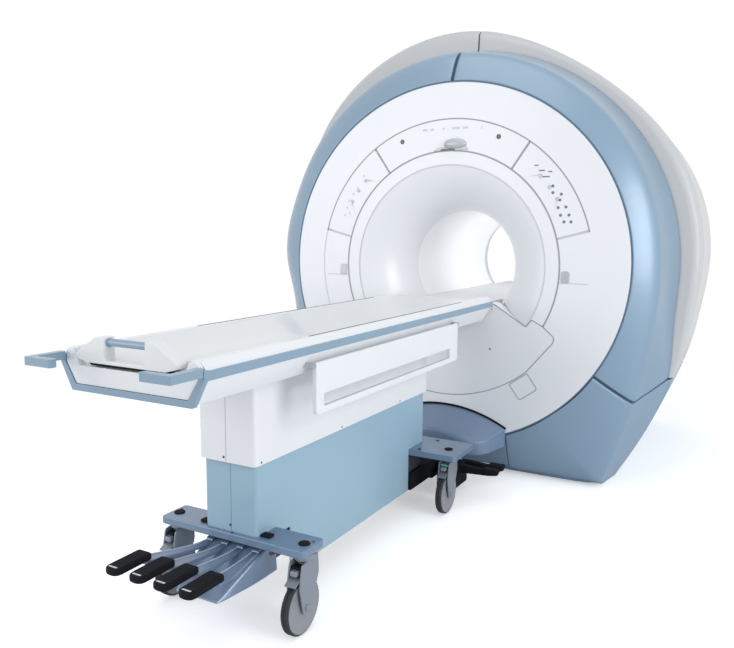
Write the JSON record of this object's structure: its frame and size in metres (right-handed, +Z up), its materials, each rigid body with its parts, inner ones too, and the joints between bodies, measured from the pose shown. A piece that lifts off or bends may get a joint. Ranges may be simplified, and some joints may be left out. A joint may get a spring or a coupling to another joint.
{
  "type": "magnetic resonance scanner with patient table",
  "caption": "Whole-body scanner: a bored magnet in moulded covers with a wheeled, height-adjustable patient table docked at its mouth, whose cradle slides into the bore.",
  "frame": {"origin": "on the floor below the middle of the bore, at the centre of the four floor anchors", "axes": "+Z up, +Y along the bore from the patient table into the magnet, +X to the right seen from the table's foot"},
  "size_m": [2.4679, 4.041, 2.4039],
  "materials": {
    "vessel_metal": "satin",
    "coil_resin": "matt",
    "bore_white": "gloss",
    "white_cover": "satin",
    "dark_window": "gloss",
    "blue_cover": "satin",
    "shell_white": "satin",
    "foot_steel": "satin",
    "table_white": "satin",
    "rail_blue": "satin",
    "hinge_steel": "brushed",
    "cover_grey": "satin",
    "mast_steel": "satin",
    "plate_blue": "satin",
    "flank_blue": "satin",
    "black_plastic": "matt",
    "dock_black": "satin",
    "key_grey": "matt",
    "fork_steel": "satin",
    "wheel_tread": "satin"
  },
  "bodies": {
    "magnet": {"bore_bridge": "bore_white", "bore_tube": "bore_white", "console_panel": "white_cover", "dock_cover": "plate_blue", "front_face": "white_cover", "front_flare": "white_cover", "gradient_coil": "coil_resin", "key_panel_left": "white_cover", "key_panel_right": "white_cover", "light_windows": "dark_window", "magnet_feet": "foot_steel", "magnet_vessel": "vessel_metal", "rear_cover": "shell_white", "rear_flare": "shell_white", "ring_cover_left": "blue_cover", "ring_cover_right": "blue_cover", "service_door": "white_cover", "shell_left": "shell_white", "shell_right": "shell_white", "shield_panel": "white_cover", "skirt_centre": "blue_cover", "skirt_left": "blue_cover", "skirt_right": "blue_cover"},
    "table_dock": {"lower_cover": "flank_blue", "front_crossmember": "plate_blue", "rear_crossmember": "plate_blue", "base_frame": "mast_steel", "stem_caps": "black_plastic", "dock_frame": "dock_black", "pedal_housing": "plate_blue"},
    "table_lift": {"mast_inner": "mast_steel", "table_chassis": "table_white", "upper_cover": "cover_grey", "side_rails": "rail_blue", "push_handles": "rail_blue", "board_hinges": "hinge_steel"},
    "cradle": {"cradle_tray": "table_white", "cradle_grip": "rail_blue"},
    "board_left": {"side_board_left": "plate_blue"},
    "board_right": {"side_board_right": "plate_blue"},
    "rocker_dock_body": {"rocker_dock": "black_plastic"},
    "rocker_release_body": {"rocker_release": "black_plastic"},
    "swivel_front_left": {"caster_fork_front_left": "fork_steel"},
    "roller_front_left": {"caster_wheel_front_left": "wheel_tread"},
    "swivel_front_right": {"caster_fork_front_right": "fork_steel"},
    "roller_front_right": {"caster_wheel_front_right": "wheel_tread"},
    "swivel_rear_left": {"caster_fork_rear_left": "fork_steel"},
    "roller_rear_left": {"caster_wheel_rear_left": "wheel_tread"},
    "swivel_rear_right": {"caster_fork_rear_right": "fork_steel"},
    "roller_rear_right": {"caster_wheel_rear_right": "wheel_tread"},
    "pedal_far_left_body": {"pedal_far_left": "black_plastic"},
    "pedal_near_left_body": {"pedal_near_left": "black_plastic"},
    "pedal_near_right_body": {"pedal_near_right": "black_plastic"},
    "pedal_far_right_body": {"pedal_far_right": "black_plastic"},
    "key_left_1_body": {"key_left_1": "key_grey"},
    "key_left_2_body": {"key_left_2": "key_grey"},
    "key_left_3_body": {"key_left_3": "key_grey"},
    "key_right_1_body": {"key_right_1": "key_grey"},
    "key_right_2_body": {"key_right_2": "key_grey"},
    "key_right_3_body": {"key_right_3": "key_grey"}
  },
  "joints": [
    {"name": "key_left_1_press", "type": "slide", "parent": "magnet", "child": "key_left_1_body", "axis": [0, 1, 0], "range_m": [0, 0.0015], "stiffness_N_per_m": 1500, "springref_m": -0.0005},
    {"name": "key_left_2_press", "type": "slide", "parent": "magnet", "child": "key_left_2_body", "axis": [0, 1, 0], "range_m": [0, 0.0015], "stiffness_N_per_m": 1500, "springref_m": -0.0005},
    {"name": "key_left_3_press", "type": "slide", "parent": "magnet", "child": "key_left_3_body", "axis": [0, 1, 0], "range_m": [0, 0.0015], "stiffness_N_per_m": 1500, "springref_m": -0.0005},
    {"name": "key_right_1_press", "type": "slide", "parent": "magnet", "child": "key_right_1_body", "axis": [0, 1, 0], "range_m": [0, 0.0015], "stiffness_N_per_m": 1500, "springref_m": -0.0005},
    {"name": "key_right_2_press", "type": "slide", "parent": "magnet", "child": "key_right_2_body", "axis": [0, 1, 0], "range_m": [0, 0.0015], "stiffness_N_per_m": 1500, "springref_m": -0.0005},
    {"name": "key_right_3_press", "type": "slide", "parent": "magnet", "child": "key_right_3_body", "axis": [0, 1, 0], "range_m": [0, 0.0015], "stiffness_N_per_m": 1500, "springref_m": -0.0005},
    {"name": "table_undock", "type": "slide", "parent": "magnet", "child": "table_dock", "axis": [0, -1, 0], "range_m": [0, 1.2]},
    {"name": "table_height", "type": "slide", "parent": "table_dock", "child": "table_lift", "axis": [0, 0, 1], "range_m": [-0.235, 0]},
    {"name": "cradle_travel", "type": "slide", "parent": "table_lift", "child": "cradle", "axis": [0, 1, 0], "range_m": [0, 1.6]},
    {"name": "board_left_swing", "type": "hinge", "parent": "table_lift", "child": "board_left", "pos_m": [-0.268, -1.9445, 0.872], "axis": [0, 1, 0], "range_deg": [0, 90]},
    {"name": "board_right_swing", "type": "hinge", "parent": "table_lift", "child": "board_right", "pos_m": [0.268, -1.9445, 0.872], "axis": [0, -1, 0], "range_deg": [0, 90]},
    {"name": "swivel_front_left_turn", "type": "hinge", "parent": "table_dock", "child": "swivel_front_left", "pos_m": [-0.268, -2.603, 0.24], "axis": [0, 0, 1], "continuous": true},
    {"name": "roller_front_left_spin", "type": "hinge", "parent": "swivel_front_left", "child": "roller_front_left", "pos_m": [-0.268, -2.628, 0.094], "axis": [1, 0, 0], "continuous": true},
    {"name": "swivel_front_right_turn", "type": "hinge", "parent": "table_dock", "child": "swivel_front_right", "pos_m": [0.268, -2.603, 0.24], "axis": [0, 0, 1], "continuous": true},
    {"name": "roller_front_right_spin", "type": "hinge", "parent": "swivel_front_right", "child": "roller_front_right", "pos_m": [0.268, -2.628, 0.094], "axis": [1, 0, 0], "continuous": true},
    {"name": "swivel_rear_left_turn", "type": "hinge", "parent": "table_dock", "child": "swivel_rear_left", "pos_m": [-0.268, -1.407, 0.24], "axis": [0, 0, 1], "continuous": true},
    {"name": "roller_rear_left_spin", "type": "hinge", "parent": "swivel_rear_left", "child": "roller_rear_left", "pos_m": [-0.268, -1.432, 0.094], "axis": [1, 0, 0], "continuous": true},
    {"name": "swivel_rear_right_turn", "type": "hinge", "parent": "table_dock", "child": "swivel_rear_right", "pos_m": [0.268, -1.407, 0.24], "axis": [0, 0, 1], "continuous": true},
    {"name": "roller_rear_right_spin", "type": "hinge", "parent": "swivel_rear_right", "child": "roller_rear_right", "pos_m": [0.268, -1.432, 0.094], "axis": [1, 0, 0], "continuous": true},
    {"name": "pedal_far_left_press", "type": "hinge", "parent": "table_dock", "child": "pedal_far_left_body", "pos_m": [-0.098, -2.631, 0.238], "axis": [1, 0, 0], "range_deg": [0, 12], "stiffness_Nm_per_rad": 40, "springref_deg": -8.59},
    {"name": "pedal_near_left_press", "type": "hinge", "parent": "table_dock", "child": "pedal_near_left_body", "pos_m": [-0.033, -2.631, 0.238], "axis": [1, 0, 0], "range_deg": [0, 12], "stiffness_Nm_per_rad": 40, "springref_deg": -8.59},
    {"name": "pedal_near_right_press", "type": "hinge", "parent": "table_dock", "child": "pedal_near_right_body", "pos_m": [0.033, -2.631, 0.238], "axis": [1, 0, 0], "range_deg": [0, 12], "stiffness_Nm_per_rad": 40, "springref_deg": -8.59},
    {"name": "pedal_far_right_press", "type": "hinge", "parent": "table_dock", "child": "pedal_far_right_body", "pos_m": [0.098, -2.631, 0.238], "axis": [1, 0, 0], "range_deg": [0, 12], "stiffness_Nm_per_rad": 40, "springref_deg": -8.59},
    {"name": "rocker_dock_press", "type": "hinge", "parent": "table_dock", "child": "rocker_dock_body", "pos_m": [0.23, -1.19, 0.14], "axis": [0, 1, 0], "range_deg": [0, 12], "stiffness_Nm_per_rad": 25, "springref_deg": -8.59},
    {"name": "rocker_release_press", "type": "hinge", "parent": "table_dock", "child": "rocker_release_body", "pos_m": [0.23, -1.11, 0.14], "axis": [0, 1, 0], "range_deg": [0, 12], "stiffness_Nm_per_rad": 25, "springref_deg": -8.59}
  ]
}
